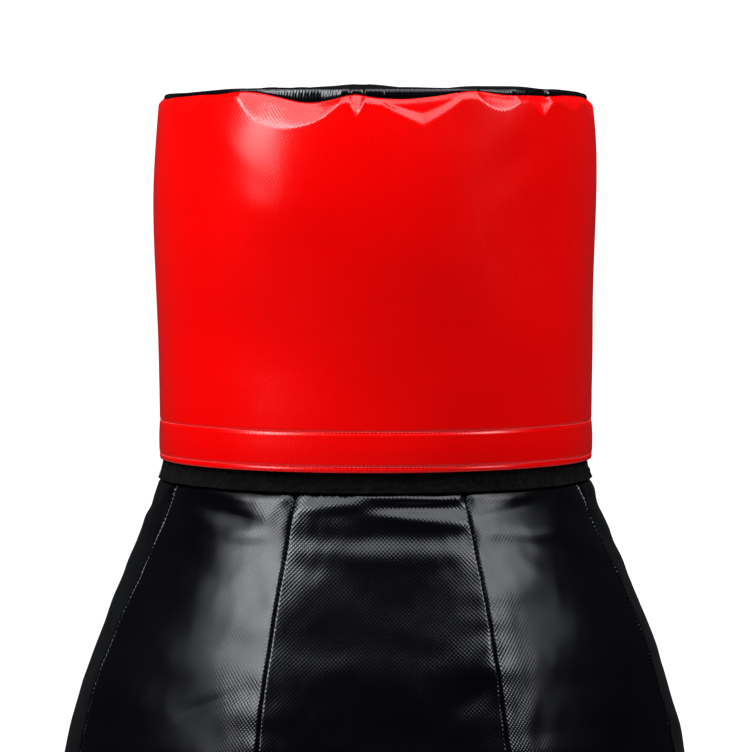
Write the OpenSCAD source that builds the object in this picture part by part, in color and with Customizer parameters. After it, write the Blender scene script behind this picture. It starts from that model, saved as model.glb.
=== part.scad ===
// Grappling dummy: a stuffed, bottle-shaped throwing dummy without limbs.
// Eight long gores make the trunk, a straight sleeve makes the head, and a hood
// with a hook-and-loop hem pulls off upwards to uncover the filling mouth.
// Millimetres, +Z up, front towards -Y, origin on the floor under the axis.

/* [Trunk] */
// Height of the neck seam above the floor
trunk_h = 1150; // [1000:5:1400]
// Radius of the trunk at its foot
foot_r = 165; // [150:1:200]
// Radius of the rounded edge between the side and the bottom
foot_edge_r = 14; // [10:1:18]
// Radius of the trunk at the hips
hip_r = 186; // [165:1:215]
// Height of the hips
hip_z = 260; // [200:5:320]
// Radius of the trunk at the waist
waist_r = 170; // [150:1:195]
// Height of the waist
waist_z = 590; // [500:5:700]
// Radius of the trunk at the chest, its widest place
chest_r = 200; // [180:1:235]
// How far the chest lies below the neck seam
chest_drop = 210; // [180:5:250]
// Radius of the trunk at the neck seam
neck_r = 137; // [125:0.5:150]
// Radius lost per millimetre of height where the shoulder meets the neck seam
neck_slope = 0.36; // [0.3:0.01:0.4]
// Turn of the whole set of gores about the upright axis, in degrees
gore_turn = 1.4; // [-20:0.1:20]

/* [Fabrics] */
// Thickness of the coated fabric of the trunk and the head
cover_t = 1.2; // [0.8:0.1:1.6]
// Thickness of the doubled bottom panel
bottom_t = 2; // [1.2:0.1:3]
// Thickness of the woven inner bag
liner_t = 0.8; // [0.5:0.1:1.2]
// Thickness of the webbing behind the neck seam and the bottom seam
webbing_t = 1.4; // [1:0.1:2]
// Width of that webbing
webbing_w = 25; // [20:1:40]
// Thickness of the foam in the foot
foot_pad_t = 20; // [12:1:30]

/* [Head] */
// Height of the head from the neck seam to the top of its sleeve
head_h = 238; // [200:1:280]
// Depth of the neck's bending centre below the neck seam
pivot_drop = 80; // [76:1:90]
// Amount that the head's sleeve is narrower than the neck seam
sleeve_step = 3.6; // [3:0.1:4.5]
// Height over which the sleeve narrows above the neck seam
flare_h = 14; // [12:1:18]
// Thickness of the loop tape
loop_t = 1.6; // [1.2:0.1:2]
// Height of the loop tape
loop_h = 50; // [42:1:60]
// Thickness of the foam wrapped inside the head
head_foam_t = 15; // [10:1:25]
// Thickness of the foam under the crown
crown_pad_t = 41; // [38:1:60]
// Radius of the turned edge at the crown
crown_edge_r = 12; // [8:1:20]

/* [Hood] */
// Height of the loop tape left bare below the hood
hood_rise = 13; // [6:1:18]
// Thickness of the hood's fabric
hood_t = 1.1; // [0.8:0.1:1.5]
// Height of the turned-up hem
hem_h = 27; // [24:1:34]
// Thickness of the hook tape
hook_t = 1.2; // [0.8:0.1:1.6]
// Height of the hook tape
hook_h = 24; // [18:1:24]
// Amount that the hood's wall bulges beyond its hem
hood_bulge = 3.2; // [1:0.1:6]
// How far the fullest place of the wall lies below the hood's top seam
bulge_drop = 68; // [50:1:90]
// Thickness of the foam sewn under the hood's top
top_pad_t = 9; // [6:0.5:14]
// Width of the rounded rim of the hood's top
top_rim_w = 12; // [8:1:18]
// Width of the tape over the hood's back seam, in degrees round the axis
back_tape_deg = 10; // [6:1:16]
// Travel of the hood when it is pulled off
hood_travel = 260; // [240:5:320]

/* [Filling mouth] */
// Radius of the mouth in the crown
mouth_r = 48; // [42:1:60]
// Depth of the collar that turns down into the mouth
collar_h = 12; // [10:1:14]
// Width and height of the drawcord's tunnel
tunnel_w = 9.2; // [8.4:0.1:11]
// Radius of the drawcord
cord_r = 1.9; // [1.5:0.1:2.2]
// Bend radius where the drawcord leaves its tunnel
cord_bend_r = 5; // [4:0.5:7]
// Radius of the knot that ends the drawcord
knot_r = 5; // [4:0.5:6]

/* [Cord lock] */
// Radius of the lock's body
lock_r = 10.5; // [9.5:0.1:13]
// Radius of the lock's plunger
plunger_r = 7; // [6.6:0.1:7.6]
// Travel of the plunger
lock_travel = 4; // [3:0.1:4.4]
// Radius of the button on top of the plunger
button_r = 8.6; // [8:0.1:10]
// Thickness of the button
button_t = 3.6; // [2.5:0.1:4]
// Height of the spring at rest
spring_h = 8.9; // [8:0.1:9.4]
// Radius of the spring's coil, at the middle of its wire
coil_r = 5.6; // [4.5:0.1:5.8]
// Radius of the spring's wire
wire_r = 0.4; // [0.25:0.05:0.5]
// Number of turns of the spring
coil_turns = 4; // [3:1:5]

/* [Hidden] */

$fn = 96;
gore_count = 8;          // gores round the trunk
cover_black = "#16161a"; // coated fabric of the trunk and head
hood_red = "#d8060c";    // coated fabric of the hood
tape_black = "#242428";  // hook, loop and webbing
foam_grey = "#9a9c9e";   // foam pads
scrap_brown = "#8d8374"; // textile scrap

fit = 0.3;               // air between pieces that slide past each other
seat = 0.1;              // air between sewn or stuffed pieces in one body
ball_gap = 0.4;          // air in the neck's ball joint
bag_gap = 0.2;           // air between the webbing and the filling
tape_inset = 4;          // from a seam to the edge of the webbing behind it
profile_steps = 8;       // straight steps in each stretch of an outline
edge_step_deg = 18;      // angle of a step round a turned edge
ball_fn = 180;           // sides of the neck's ball, which is cut at a shallow angle
foot_seam_deg = 45;      // where the bottom seam lies on the foot's rounded edge

hip_point = [hip_z, hip_r, 0];
waist_point = [waist_z, waist_r, 0];
chest_z = trunk_h - chest_drop;
chest_point = [chest_z, chest_r, 0];
neck_point = [trunk_h, neck_r, -neck_slope];
trunk_points = [[foot_edge_r, foot_r, 0], hip_point, waist_point, chest_point, neck_point];

foot_edge_x = foot_r - foot_edge_r;
fill_depth = cover_t + max(liner_t, webbing_t) + bag_gap;
foot_pad_top = bottom_t + seat + foot_pad_t;

pivot_z = trunk_h - pivot_drop;
ball_r = norm([neck_r, pivot_drop]);
socket_r = ball_r + ball_gap;

sleeve_r = neck_r - sleeve_step;
sleeve_points = [[trunk_h, neck_r, -neck_slope], [trunk_h + flare_h, sleeve_r, 0]];
head_top = trunk_h + head_h;
head_inner_r = sleeve_r - cover_t - seat;
crown_pad_z = head_top - cover_t - seat - crown_pad_t;
loop_top = trunk_h + loop_h;

// the hood's layers at the hem, from the loop tape outwards
hook_inner_r = sleeve_r + loop_t + fit;
hem_inner_r = hook_inner_r + hook_t;
hem_r = hem_inner_r + 2 * hood_t;
hood_z = trunk_h + hood_rise;
hood_seam_z = head_top + fit + top_pad_t - 4;
hood_top_z = head_top + 2 * fit + top_pad_t + cover_t;
bulge_z = hood_seam_z - bulge_drop;
hood_top_r = hem_r - 0.6;
hood_points = [
    [hood_z, hem_r, 0], [hood_z + hem_h, hem_r - 0.3, 0],
    [bulge_z, hem_r + hood_bulge, 0], [hood_seam_z, hood_top_r, -0.12]
];
binding_h = 8;           // height of the binding inside the top seam
binding_drop = 2;        // from the top seam down to that binding

collar_z = head_top - collar_h;
tunnel_z = collar_z - tunnel_w;
tunnel_t = 1.1;          // wall of the drawcord's tunnel
tunnel_in_r = mouth_r - tunnel_w;
cord_ring_r = mouth_r - tunnel_w / 2;
cord_z = tunnel_z + tunnel_w / 2;
cord_side = cord_r + 0.2; // from the middle of the lock to each end of the cord
bend_y = cord_side + cord_bend_r;
bend_deg = asin(bend_y / (cord_ring_r - cord_bend_r));
bend_x = (cord_ring_r - cord_bend_r) * cos(bend_deg);
knot_x = -(lock_r + knot_r + 3);

slot_w = 2 * (cord_side + cord_r) + 0.6;
slot_h = 2 * cord_r + 2 * fit + 0.2;
plunger_foot = 4;        // solid part of the plunger below its slot
lock_floor_t = 1.8;
spring_top = cord_z - slot_h / 2 - plunger_foot;
lock_floor_z = spring_top - spring_h;
lock_z = lock_floor_z - lock_floor_t;
lock_top = cord_z + slot_h / 2 + 3.2;
button_z = lock_top + lock_travel + fit;
bore_gap = 0.25;         // air round the plunger

function reverse(points) = [for (i = [len(points) - 1 : -1 : 0]) points[i]];

// radius at height z on the smooth curve between two [height, radius, slope] points
function curve_r(a, b, z) =
    let (h = b[0] - a[0], t = (z - a[0]) / h)
    a[1] * (2 * pow(t, 3) - 3 * pow(t, 2) + 1) + b[1] * (3 * pow(t, 2) - 2 * pow(t, 3))
    + h * (a[2] * (pow(t, 3) - 2 * pow(t, 2) + t) + b[2] * (pow(t, 3) - pow(t, 2)));

// radius at height z on an outline of such points, on the straight step that holds z, so that
// layers which end at different heights still share each step
function outline_r(outline, z) =
    let (last = len(outline) - 2,
         at = [for (i = [0 : last]) if (z >= outline[i][0] - 0.001) i],
         i = len(at) == 0 ? 0 : min(at[len(at) - 1], last),
         a = outline[i], b = outline[i + 1],
         step_h = (b[0] - a[0]) / profile_steps,
         k = max(0, min(profile_steps - 1, floor((z - a[0]) / step_h + 0.001))),
         low = a[0] + k * step_h,
         low_r = curve_r(a, b, low),
         high_r = curve_r(a, b, low + step_h))
    low_r + (high_r - low_r) * (z - low) / step_h;

// heights at which an outline is stepped between low and high
function outline_heights(outline, low, high) = concat([low],
    [for (i = [0 : len(outline) - 2], k = [0 : profile_steps - 1])
        let (z = outline[i][0] + (outline[i + 1][0] - outline[i][0]) * k / profile_steps)
        if (z > low + 0.5 && z < high - 0.5) z],
    [high]);

// an outline's points, moved inwards by depth
function side_points(outline, low, high, depth) =
    [for (z = outline_heights(outline, low, high)) [outline_r(outline, z) - depth, z]];

// points round the foot's edge between two angles, moved inwards by depth
function foot_points(from_deg, to_deg, depth) =
    [for (k = [0 : 5]) let (a = from_deg + (to_deg - from_deg) * k / 5)
        [foot_edge_x + (foot_edge_r - depth) * sin(a), foot_edge_r - (foot_edge_r - depth) * cos(a)]];

// closed strip between two depths of an outline
function strip(outline, low, high, outer, inner) = concat(
    side_points(outline, low, high, outer), reverse(side_points(outline, low, high, inner)));

module revolve(points) {
    rotate_extrude() polygon(points);
}

// a ring with a rectangular section
module ring(inner_r, outer_r, low, high) {
    revolve([[inner_r, low], [outer_r, low], [outer_r, high], [inner_r, high]]);
}

// a round tube swept along a route that never runs straight up
module tube(route, r) {
    sides = 8;
    last = len(route) - 1;
    rings = [for (i = [0 : last])
        let (ahead = route[min(i + 1, last)] - route[max(i - 1, 0)], along = ahead / norm(ahead),
             across = cross([0, 0, 1], along), side = across / norm(across), up = cross(along, side))
        [for (k = [0 : sides - 1]) let (a = k * 360 / sides)
            route[i] + r * cos(a) * side + r * sin(a) * up]];
    wall = [for (i = [0 : last - 1], k = [0 : sides - 1]) let (n = (k + 1) % sides)
        [i * sides + k, (i + 1) * sides + k, (i + 1) * sides + n, i * sides + n]];
    ends = [[for (k = [0 : sides - 1]) k], [for (k = [sides - 1 : -1 : 0]) last * sides + k]];
    polyhedron([for (points = rings) each points], concat(wall, ends));
}

// a ball about the neck's bending centre
module neck_ball(r) {
    translate([0, 0, pivot_z]) sphere(r, $fn = ball_fn);
}

// ---- trunk ----

// one gore, sewn to the bottom panel at the foot and to the sleeve at the neck
module gore(number) {
    middle = -90 + gore_turn + (number - 1) * 360 / gore_count;
    outer = concat(foot_points(foot_seam_deg, 90 - edge_step_deg, 0),
                   side_points(trunk_points, foot_edge_r, trunk_h, 0));
    inner = concat(foot_points(foot_seam_deg, 90 - edge_step_deg, cover_t),
                   side_points(trunk_points, foot_edge_r, trunk_h, cover_t));
    color(cover_black)
    rotate([0, 0, middle - 180 / gore_count])
    rotate_extrude(angle = 360 / gore_count) polygon(concat(outer, reverse(inner)));
}

// doubled round panel that the dummy stands on, turned up to the bottom seam
module bottom_panel() {
    outer = foot_points(0, foot_seam_deg, 0);
    inner = foot_points(0, foot_seam_deg, bottom_t);
    color(cover_black) revolve(concat([[0, 0]], outer, reverse(inner), [[0, bottom_t]]));
}

// webbing ring inside the cover just above the bottom seam
module bottom_webbing() {
    low = foot_edge_r + tape_inset;
    color(tape_black)
    revolve(strip(trunk_points, low, low + webbing_w, cover_t, cover_t + webbing_t));
}

// webbing ring inside the cover just below the neck seam
module neck_webbing() {
    high = trunk_h - tape_inset;
    color(tape_black)
    revolve(strip(trunk_points, high - webbing_w, high, cover_t, cover_t + webbing_t));
}

// woven inner bag between the two webbing rings
module inner_bag() {
    low = foot_edge_r + tape_inset + webbing_w;
    high = trunk_h - tape_inset - webbing_w;
    color("#cfc8b8") revolve(strip(trunk_points, low, high, cover_t, cover_t + liner_t));
}

// foam disc in the foot
module foot_pad() {
    depth = max(fill_depth, bottom_t + seat);
    side = foot_points(0, 90, depth);
    top_r = outline_r(trunk_points, foot_pad_top) - depth;
    color(foam_grey) revolve(concat([[0, depth]], side, [[top_r, foot_pad_top], [0, foot_pad_top]]));
}

// packed textile scrap, domed at the top so that the head can bend on it
module trunk_filling() {
    low = foot_pad_top + seat;
    side = side_points(trunk_points, low, trunk_h, fill_depth);
    color(scrap_brown)
    difference() {
        revolve(concat([[0, low]], side,
            [[neck_r - fill_depth, trunk_h + ball_r], [0, trunk_h + ball_r]]));
        difference() {
            ring(0, chest_r, trunk_h - 2, trunk_h + 2 * ball_r);
            neck_ball(ball_r);
        }
    }
}

// ---- head ----

// tube of coated fabric: the flared foot, the wall, the crown and the mouth's collar
module head_sleeve() {
    turn = [for (a = [0 : edge_step_deg : 90]) a];
    function skin(depth) = concat(
        side_points(sleeve_points, trunk_h, trunk_h + flare_h, depth),
        [for (a = turn) [sleeve_r - crown_edge_r + (crown_edge_r - depth) * cos(a),
                         head_top - crown_edge_r + (crown_edge_r - depth) * sin(a)]],
        [[mouth_r + depth, head_top - depth], [mouth_r + depth, collar_z]]);
    color(cover_black)
    difference() {
        revolve(concat(skin(0), reverse(skin(cover_t))));
        neck_ball(socket_r);
    }
}

// loop side of the hook-and-loop, sewn round the foot of the sleeve
module loop_tape() {
    tape_points = concat(sleeve_points, [[loop_top + 1, sleeve_r, 0]]);
    color(tape_black)
    difference() {
        revolve(strip(tape_points, trunk_h + 0.6, loop_top, -loop_t, 0));
        neck_ball(socket_r);
    }
}

// foam sheet wrapped round the inside of the head
module head_foam() {
    color(foam_grey)
    difference() {
        ring(head_inner_r - head_foam_t, head_inner_r, trunk_h, crown_pad_z - seat);
        neck_ball(socket_r);
    }
}

// packed textile scrap in the middle of the head
module head_filling() {
    color(scrap_brown)
    difference() {
        ring(0, head_inner_r - head_foam_t - seat, trunk_h, crown_pad_z - seat);
        neck_ball(socket_r);
    }
}

// foam disc under the crown, with a pocket for the cord lock
module crown_pad() {
    edge = crown_edge_r - cover_t;
    color(foam_grey)
    difference() {
        revolve(concat([[0, crown_pad_z], [head_inner_r, crown_pad_z]],
            [for (a = [0 : edge_step_deg : 90])
                [head_inner_r - edge + edge * cos(a), crown_pad_z + crown_pad_t - edge + edge * sin(a)]],
            [[0, crown_pad_z + crown_pad_t]]));
        translate([0, 0, lock_z]) cylinder(r = mouth_r + cover_t + seat, h = crown_pad_t + head_h);
    }
}

// tunnel below the collar, open towards +X where the drawcord leaves it
module cord_tunnel() {
    color(cover_black)
    difference() {
        ring(tunnel_in_r, mouth_r, tunnel_z, collar_z);
        ring(tunnel_in_r + tunnel_t, mouth_r - tunnel_t, tunnel_z + tunnel_t, collar_z - tunnel_t);
        translate([0, -bend_y, tunnel_z + tunnel_t])
        cube([cord_ring_r, 2 * bend_y, tunnel_w - 2 * tunnel_t]);
    }
}

// cord round the tunnel, with both ends through the lock to one knot
module drawcord() {
    function arc(x, y, r, from_deg, to_deg, steps) = [for (i = [0 : steps])
        let (a = from_deg + (to_deg - from_deg) * i / steps) [x + r * cos(a), y + r * sin(a), cord_z]];
    one_end = concat([[knot_x - 1, cord_side, cord_z], [0, cord_side, cord_z]],
                     arc(bend_x, bend_y, cord_bend_r, -90, bend_deg, 8));
    other_end = [for (p = reverse(one_end)) [p[0], -p[1], p[2]]];
    round = arc(0, 0, cord_ring_r, bend_deg, 360 - bend_deg, 48);
    middle = [for (i = [1 : len(round) - 2]) round[i]];
    color("#3a3a3e") {
        tube(concat(one_end, middle, other_end), cord_r);
        translate([knot_x - knot_r, 0, cord_z]) rotate([0, 90, 0]) cylinder(r = knot_r, h = knot_r);
    }
}

// barrel of the cord lock, bored from above and slotted along X for the cord
module cord_lock_body() {
    color("#1d1d20")
    difference() {
        translate([0, 0, lock_z]) cylinder(r = lock_r, h = lock_top - lock_z);
        translate([0, 0, lock_floor_z]) cylinder(r = plunger_r + bore_gap, h = lock_top);
        translate([-2 * lock_r, -slot_w / 2, cord_z - slot_h / 2]) cube([4 * lock_r, slot_w, slot_h]);
    }
}

// compression spring under the plunger
module cord_lock_spring() {
    steps = 18 * coil_turns;
    low = lock_floor_z + wire_r + 0.05;
    rise = spring_h - 2 * wire_r - 0.1;
    color("silver")
    tube([for (i = [0 : steps]) let (a = i * 360 * coil_turns / steps)
        [coil_r * cos(a), coil_r * sin(a), low + rise * i / steps]], wire_r);
}

// plunger and button in one moulding, slotted taller than the cord by its travel
module cord_lock_button() {
    color("#1d1d20")
    difference() {
        union() {
            translate([0, 0, spring_top]) cylinder(r = plunger_r, h = button_z - spring_top);
            translate([0, 0, button_z]) cylinder(r = button_r, h = button_t);
        }
        translate([-2 * lock_r, -slot_w / 2, cord_z - slot_h / 2])
        cube([4 * lock_r, slot_w, slot_h + lock_travel]);
    }
}

// ---- hood ----

// one panel of red coated fabric with its hem turned up inside
module hood_wall() {
    outer = side_points(hood_points, hood_z, hood_seam_z, 0);
    wall = side_points(hood_points, hood_z + hem_h, hood_seam_z, hood_t);
    color(hood_red)
    revolve(concat(outer, reverse(wall),
        [[hem_inner_r, hood_z + hem_h], [hem_inner_r, hood_z]]));
}

// hook side of the hook-and-loop, sewn inside the hem
module hook_tape() {
    low = hood_z + (hem_h - hook_h) / 2;
    color(tape_black) ring(hook_inner_r, hem_inner_r, low, low + hook_h);
}

// profile of the hood's puffed top, moved inwards by depth
function top_points(depth) =
    [for (a = [0 : edge_step_deg : 90])
        [hood_top_r - top_rim_w + (top_rim_w - depth) * cos(a),
         hood_seam_z + (hood_top_z - hood_seam_z - depth) * sin(a)]];

// round black panel sewn to the top of the wall
module hood_top() {
    color(cover_black)
    revolve(concat(top_points(0), [[0, hood_top_z], [0, hood_top_z - cover_t]],
                   reverse(top_points(cover_t))));
}

// foam sewn under the top panel
module hood_top_pad() {
    edge_r = hood_top_r - top_rim_w;
    low = head_top + fit;
    color(foam_grey) ring(0, edge_r, low, low + top_pad_t);
}

// binding round the raw edges of the top seam
module hood_top_binding() {
    high = hood_seam_z - binding_drop;
    outer_r = outline_r(hood_points, high) - hood_t - seat;
    color(tape_black) ring(sleeve_r + fit, outer_r, high - binding_h, high);
}

// tape over the wall's seam at the back
module hood_back_tape() {
    low = hood_z + hem_h + 1;
    high = hood_seam_z - binding_drop - binding_h - 1;
    color(hood_red)
    rotate([0, 0, 90 - back_tape_deg / 2])
    rotate_extrude(angle = back_tape_deg)
    polygon(strip(hood_points, low, high, hood_t + seat, hood_t + seat + cover_t));
}

gore(1);  // gore_1
gore(2);  // gore_2
gore(3);  // gore_3
gore(4);  // gore_4
gore(5);  // gore_5
gore(6);  // gore_6
gore(7);  // gore_7
gore(8);  // gore_8
bottom_panel();
bottom_webbing();
neck_webbing();
inner_bag();
foot_pad();
trunk_filling();
head_sleeve();
loop_tape();
head_foam();
head_filling();
crown_pad();
cord_tunnel();
drawcord();
cord_lock_body();
cord_lock_spring();
cord_lock_button();
hood_wall();
hook_tape();
hood_top();
hood_top_pad();
hood_top_binding();
hood_back_tape();
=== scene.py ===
"""Looks of a stuffed grappling dummy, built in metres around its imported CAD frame."""

import math

import bpy
import numpy as np
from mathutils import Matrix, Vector


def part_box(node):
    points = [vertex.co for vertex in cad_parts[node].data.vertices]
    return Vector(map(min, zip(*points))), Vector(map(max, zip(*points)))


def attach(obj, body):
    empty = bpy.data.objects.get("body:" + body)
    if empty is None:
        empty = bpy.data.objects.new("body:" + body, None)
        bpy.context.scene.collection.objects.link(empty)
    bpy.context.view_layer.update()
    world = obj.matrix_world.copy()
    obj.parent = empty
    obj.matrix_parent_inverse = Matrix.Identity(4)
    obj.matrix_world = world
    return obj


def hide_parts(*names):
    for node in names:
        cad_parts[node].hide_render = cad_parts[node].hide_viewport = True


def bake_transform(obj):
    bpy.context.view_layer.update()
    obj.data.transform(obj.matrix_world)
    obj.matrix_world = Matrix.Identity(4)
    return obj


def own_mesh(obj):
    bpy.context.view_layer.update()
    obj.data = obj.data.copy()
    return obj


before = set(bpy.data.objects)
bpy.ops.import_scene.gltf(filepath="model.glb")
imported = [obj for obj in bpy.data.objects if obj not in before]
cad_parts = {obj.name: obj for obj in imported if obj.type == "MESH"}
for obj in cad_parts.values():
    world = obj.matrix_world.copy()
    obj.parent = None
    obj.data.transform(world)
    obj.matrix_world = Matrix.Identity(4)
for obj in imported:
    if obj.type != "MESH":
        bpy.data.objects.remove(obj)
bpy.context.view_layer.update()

MM = 0.001
TAU = 2 * math.pi
GORES = [f"gore_{n}" for n in range(1, 9)]
GORE_ANGLE = TAU / len(GORES)
INNER_STEP = 0.6 * MM  # a height whose points lie this far inside its neighbours' line isn't on the outside


# ---- sizes read from the frame ----

def mesh_points(mesh):
    return np.array([v.co[:] for v in mesh.vertices], float)


def cad_points(*nodes):
    """Vertices of some CAD nodes as one array."""
    return np.concatenate([mesh_points(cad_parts[n].data) for n in nodes])


def outline(*nodes):
    """Outermost radius of some CAD nodes against height, as a smooth function."""
    points = cad_points(*nodes)
    height = np.round(points[:, 2], 4)
    radius = np.hypot(points[:, 0], points[:, 1])
    z = np.unique(height)
    r = np.array([radius[height == h].max() for h in z])
    inner = np.array([True])
    while inner.any():  # drops heights at which the node has only inside corners
        between = r[:-2] + (r[2:] - r[:-2]) * (z[1:-1] - z[:-2]) / (z[2:] - z[:-2])
        inner = np.concatenate([[False], r[1:-1] < between - INNER_STEP, [False]])
        z, r = z[~inner], r[~inner]
    slope = np.gradient(r, z)

    def at(heights):
        heights = np.clip(heights, z[0], z[-1])
        i = np.clip(np.searchsorted(z, heights) - 1, 0, len(z) - 2)
        h = z[i + 1] - z[i]
        t = (heights - z[i]) / h
        return (
            r[i] * (2 * t**3 - 3 * t**2 + 1)
            + r[i + 1] * (3 * t**2 - 2 * t**3)
            + h * slope[i] * (t**3 - 2 * t**2 + t)
            + h * slope[i + 1] * (t**3 - t**2)
        )

    return at


def middle_angle(node):
    """Angle about the upright axis of the middle of a CAD node."""
    points = cad_points(node)
    return math.atan2(points[:, 1].mean(), points[:, 0].mean())


NECK_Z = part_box("gore_1")[1].z
FOOT_SEAM_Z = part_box("gore_1")[0].z
HOOD_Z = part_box("hood_wall")[0].z
HOOD_SEAM_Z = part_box("hood_wall")[1].z
HOOD_TOP_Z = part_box("hood_top")[1].z
HEAD_TOP_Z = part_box("head_sleeve")[1].z
TAPE_TOP_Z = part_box("loop_tape")[1].z
SLEEVE_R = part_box("head_foam")[1].x + 1.3 * MM  # the sleeve's cloth and the gap under it
HOOD_TOP_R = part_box("hood_top")[1].x
MOUTH_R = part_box("cord_tunnel")[1].x
FIRST_ANGLE = middle_angle("gore_1")
trunk_r = outline(*GORES)
hood_r = outline("hood_wall")
GIRTH_R = 0.17  # mean radius of the trunk, for distances along its cloth


# ---- shapes that vary over a surface ----

def bell(x, width):
    return np.exp(-((x / width) ** 2))


def smooth(x, low, high):
    t = np.clip((x - low) / (high - low), 0, 1)
    return t * t * (3 - 2 * t)


def unit(vectors):
    return vectors / np.linalg.norm(vectors, axis=-1, keepdims=True)


def lumps(points, wave, seed, count=28):
    """Smooth random field over 3-D points: about -2 to 2, with features of the given size."""
    rng = np.random.RandomState(seed)
    total = np.zeros(points.shape[:-1])
    for _ in range(count):
        direction = unit(rng.normal(size=3))
        length = wave * rng.uniform(0.7, 1.5)
        total += np.sin(points @ direction * TAU / length + rng.uniform(0, TAU))
    return total * math.sqrt(2 / count)


def round_points(radius, angle, z):
    return np.stack([radius * np.cos(angle), radius * np.sin(angle), z], axis=-1)


def once_round(heights, sides):
    """Height and angle of each point of a grid that goes once round the axis."""
    return np.meshgrid(heights, np.linspace(0, TAU, sides, endpoint=False), indexing="ij")


def revolve(profile, sides):
    """Radius, angle and height of each point of a profile turned round the axis."""
    radius, angle = once_round(profile[:, 0], sides)
    return radius, angle, np.repeat(profile[:, 1:2], sides, axis=1)


# ---- meshes ----

def add_object(name, data):
    """Object in the scene that holds a mesh, a light or a camera."""
    obj = bpy.data.objects.new(name, data)
    bpy.context.scene.collection.objects.link(obj)
    return obj


def new_object(name, points, faces, uvs=None):
    """Mesh object from an array of points and a list of faces, with one UV pair a point."""
    mesh = bpy.data.meshes.new(name)
    mesh.from_pydata(points.reshape(-1, 3).tolist(), [], faces)
    if uvs is not None:
        corner = np.zeros(len(mesh.loops), np.int32)
        mesh.loops.foreach_get("vertex_index", corner)
        layer = mesh.uv_layers.new(name="cloth")
        layer.data.foreach_set("uv", uvs.reshape(-1, 2)[corner].astype(np.float32).ravel())
    mesh.polygons.foreach_set("use_smooth", [True] * len(mesh.polygons))
    mesh.update()
    return add_object(name, mesh)


def grid_faces(rows, columns, wrap=False, closed=False):
    """Quads of a grid of points; wrap joins the last column to the first, closed the last row."""
    i, j = np.meshgrid(np.arange(rows if closed else rows - 1),
                       np.arange(columns if wrap else columns - 1), indexing="ij")
    k, n = (j + 1) % columns, (i + 1) % rows
    quads = np.stack([i * columns + j, i * columns + k, n * columns + k, n * columns + j], -1)
    return quads.reshape(-1, 4).tolist()


def grid_object(name, points, uvs=None, wrap=False, closed=False):
    rows, columns = points.shape[:2]
    return new_object(name, points, grid_faces(rows, columns, wrap, closed), uvs)


def repeated(faces, size, count):
    """Faces of one small shape of so many points, for each of its copies."""
    return [[n * size + corner for corner in face] for n in range(count) for face in faces]


def thicken(obj, thickness):
    """Gives a sheet its real thickness inwards, with a closed rim."""
    solid = obj.modifiers.new("thickness", "SOLIDIFY")
    solid.thickness = thickness
    solid.offset = -1
    solid.use_rim = True
    return obj


def dress(obj, material, body=None, replaces=()):
    """Material, body and replaced CAD nodes of a piece, all at once."""
    obj.data.materials.clear()
    obj.data.materials.append(material)
    if body:
        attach(obj, body)
    if replaces:
        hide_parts(*replaces)
    return obj


def bend_with_neck(obj):
    """Bakes the piece's placement into its mesh."""
    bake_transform(obj)
    return obj


def ring_cut(radius_at, low, high):
    """Flat width, length and area of cloth that goes once round the axis between two heights."""
    z = np.linspace(low, high, 200)
    r = radius_at(z)
    steps = np.hypot(np.diff(r), np.diff(z))
    return TAU * r.max(), steps.sum(), TAU * ((r[1:] + r[:-1]) / 2 * steps).sum()


def thread_object(name, centres, along, out, length, radius, sides=6):
    """Short rounded stitches: a bead with tapered ends at each centre, flat side on the cloth."""
    # place along the stitch, share of its thickness, share of its radius off the cloth
    stations = [(-0.5, 0.35, -0.9), (-0.3, 0.9, -0.1), (0.0, 1.0, 0.25), (0.3, 0.9, -0.1),
                (0.5, 0.35, -0.9)]
    across = np.cross(out, along)
    rings = []
    for place, swell, lift in stations:
        for k in range(sides):
            a = TAU * k / sides
            rings.append(
                centres
                + along * (place * length)
                + across * (math.cos(a) * radius * swell)
                + out * ((math.sin(a) * swell + lift) * radius)
            )
    size = len(rings)
    bead = grid_faces(len(stations), sides, wrap=True)
    bead += [list(range(sides))[::-1], list(range(size - sides, size))]
    return new_object(name, np.stack(rings, axis=1), repeated(bead, size, len(centres)))


# ---- materials ----

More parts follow.
